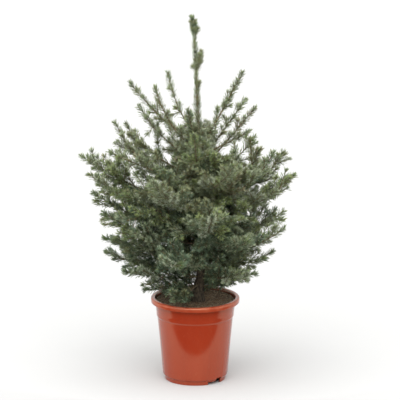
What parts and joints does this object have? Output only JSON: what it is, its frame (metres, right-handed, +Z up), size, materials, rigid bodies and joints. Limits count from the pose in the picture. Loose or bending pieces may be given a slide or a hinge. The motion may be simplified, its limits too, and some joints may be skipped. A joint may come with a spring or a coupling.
{
  "type": "potted serbian spruce",
  "caption": "Young Serbian spruce with ascending needle-clad boughs and a slim leader, growing in a round terracotta-coloured plastic nursery pot.",
  "frame": {"origin": "centre of the flat disc on the pot's underside, at the level of the surface it stands on", "axes": "+Z up along the trunk, +X to the right and -Y towards the viewer of the front"},
  "size_m": [0.4463, 0.4019, 0.799],
  "materials": {
    "pot": "satin",
    "soil": "rough peat",
    "bark": "rough bark",
    "needles": "matte needles"
  },
  "bodies": {
    "root": {"foliage_back_1": "needles", "foliage_back_2": "needles", "foliage_back_3": "needles", "foliage_back_4": "needles", "foliage_back_5": "needles", "foliage_front_1": "needles", "foliage_front_2": "needles", "foliage_front_3": "needles", "foliage_front_4": "needles", "foliage_front_5": "needles", "foliage_front_6": "needles", "foliage_front_7": "needles", "foliage_front_left_lowest": "needles", "foliage_leader": "needles", "foliage_left_bottom": "needles", "foliage_left_fourth": "needles", "foliage_left_front_outer": "needles", "foliage_left_hanging": "needles", "foliage_left_low": "needles", "foliage_left_low_outer": "needles", "foliage_left_lower": "needles", "foliage_left_lowest": "needles", "foliage_left_middle": "needles", "foliage_left_outer": "needles", "foliage_left_second": "needles", "foliage_left_third": "needles", "foliage_left_upright": "needles", "foliage_right_bottom": "needles", "foliage_right_fourth": "needles", "foliage_right_front_outer": "needles", "foliage_right_high_outer": "needles", "foliage_right_low": "needles", "foliage_right_lower": "needles", "foliage_right_lowest": "needles", "foliage_right_outer": "needles", "foliage_right_second": "needles", "foliage_right_slender": "needles", "foliage_right_tall": "needles", "foliage_right_third": "needles", "foliage_right_upright": "needles", "foliage_top_back": "needles", "foliage_top_back_left": "needles", "foliage_top_back_right": "needles", "foliage_top_front": "needles", "foliage_top_front_left": "needles", "foliage_top_left": "needles", "limb_left_lower": "bark", "limb_left_outer": "bark", "limb_left_second": "bark", "limb_left_third": "bark", "limb_left_upright": "bark", "limb_right_high_outer": "bark", "limb_right_lower": "bark", "limb_right_second": "bark", "limb_right_tall": "bark", "limb_right_third": "bark", "limb_top_left": "bark", "pot": "pot", "soil": "soil", "trunk": "bark"}
  },
  "joints": []
}
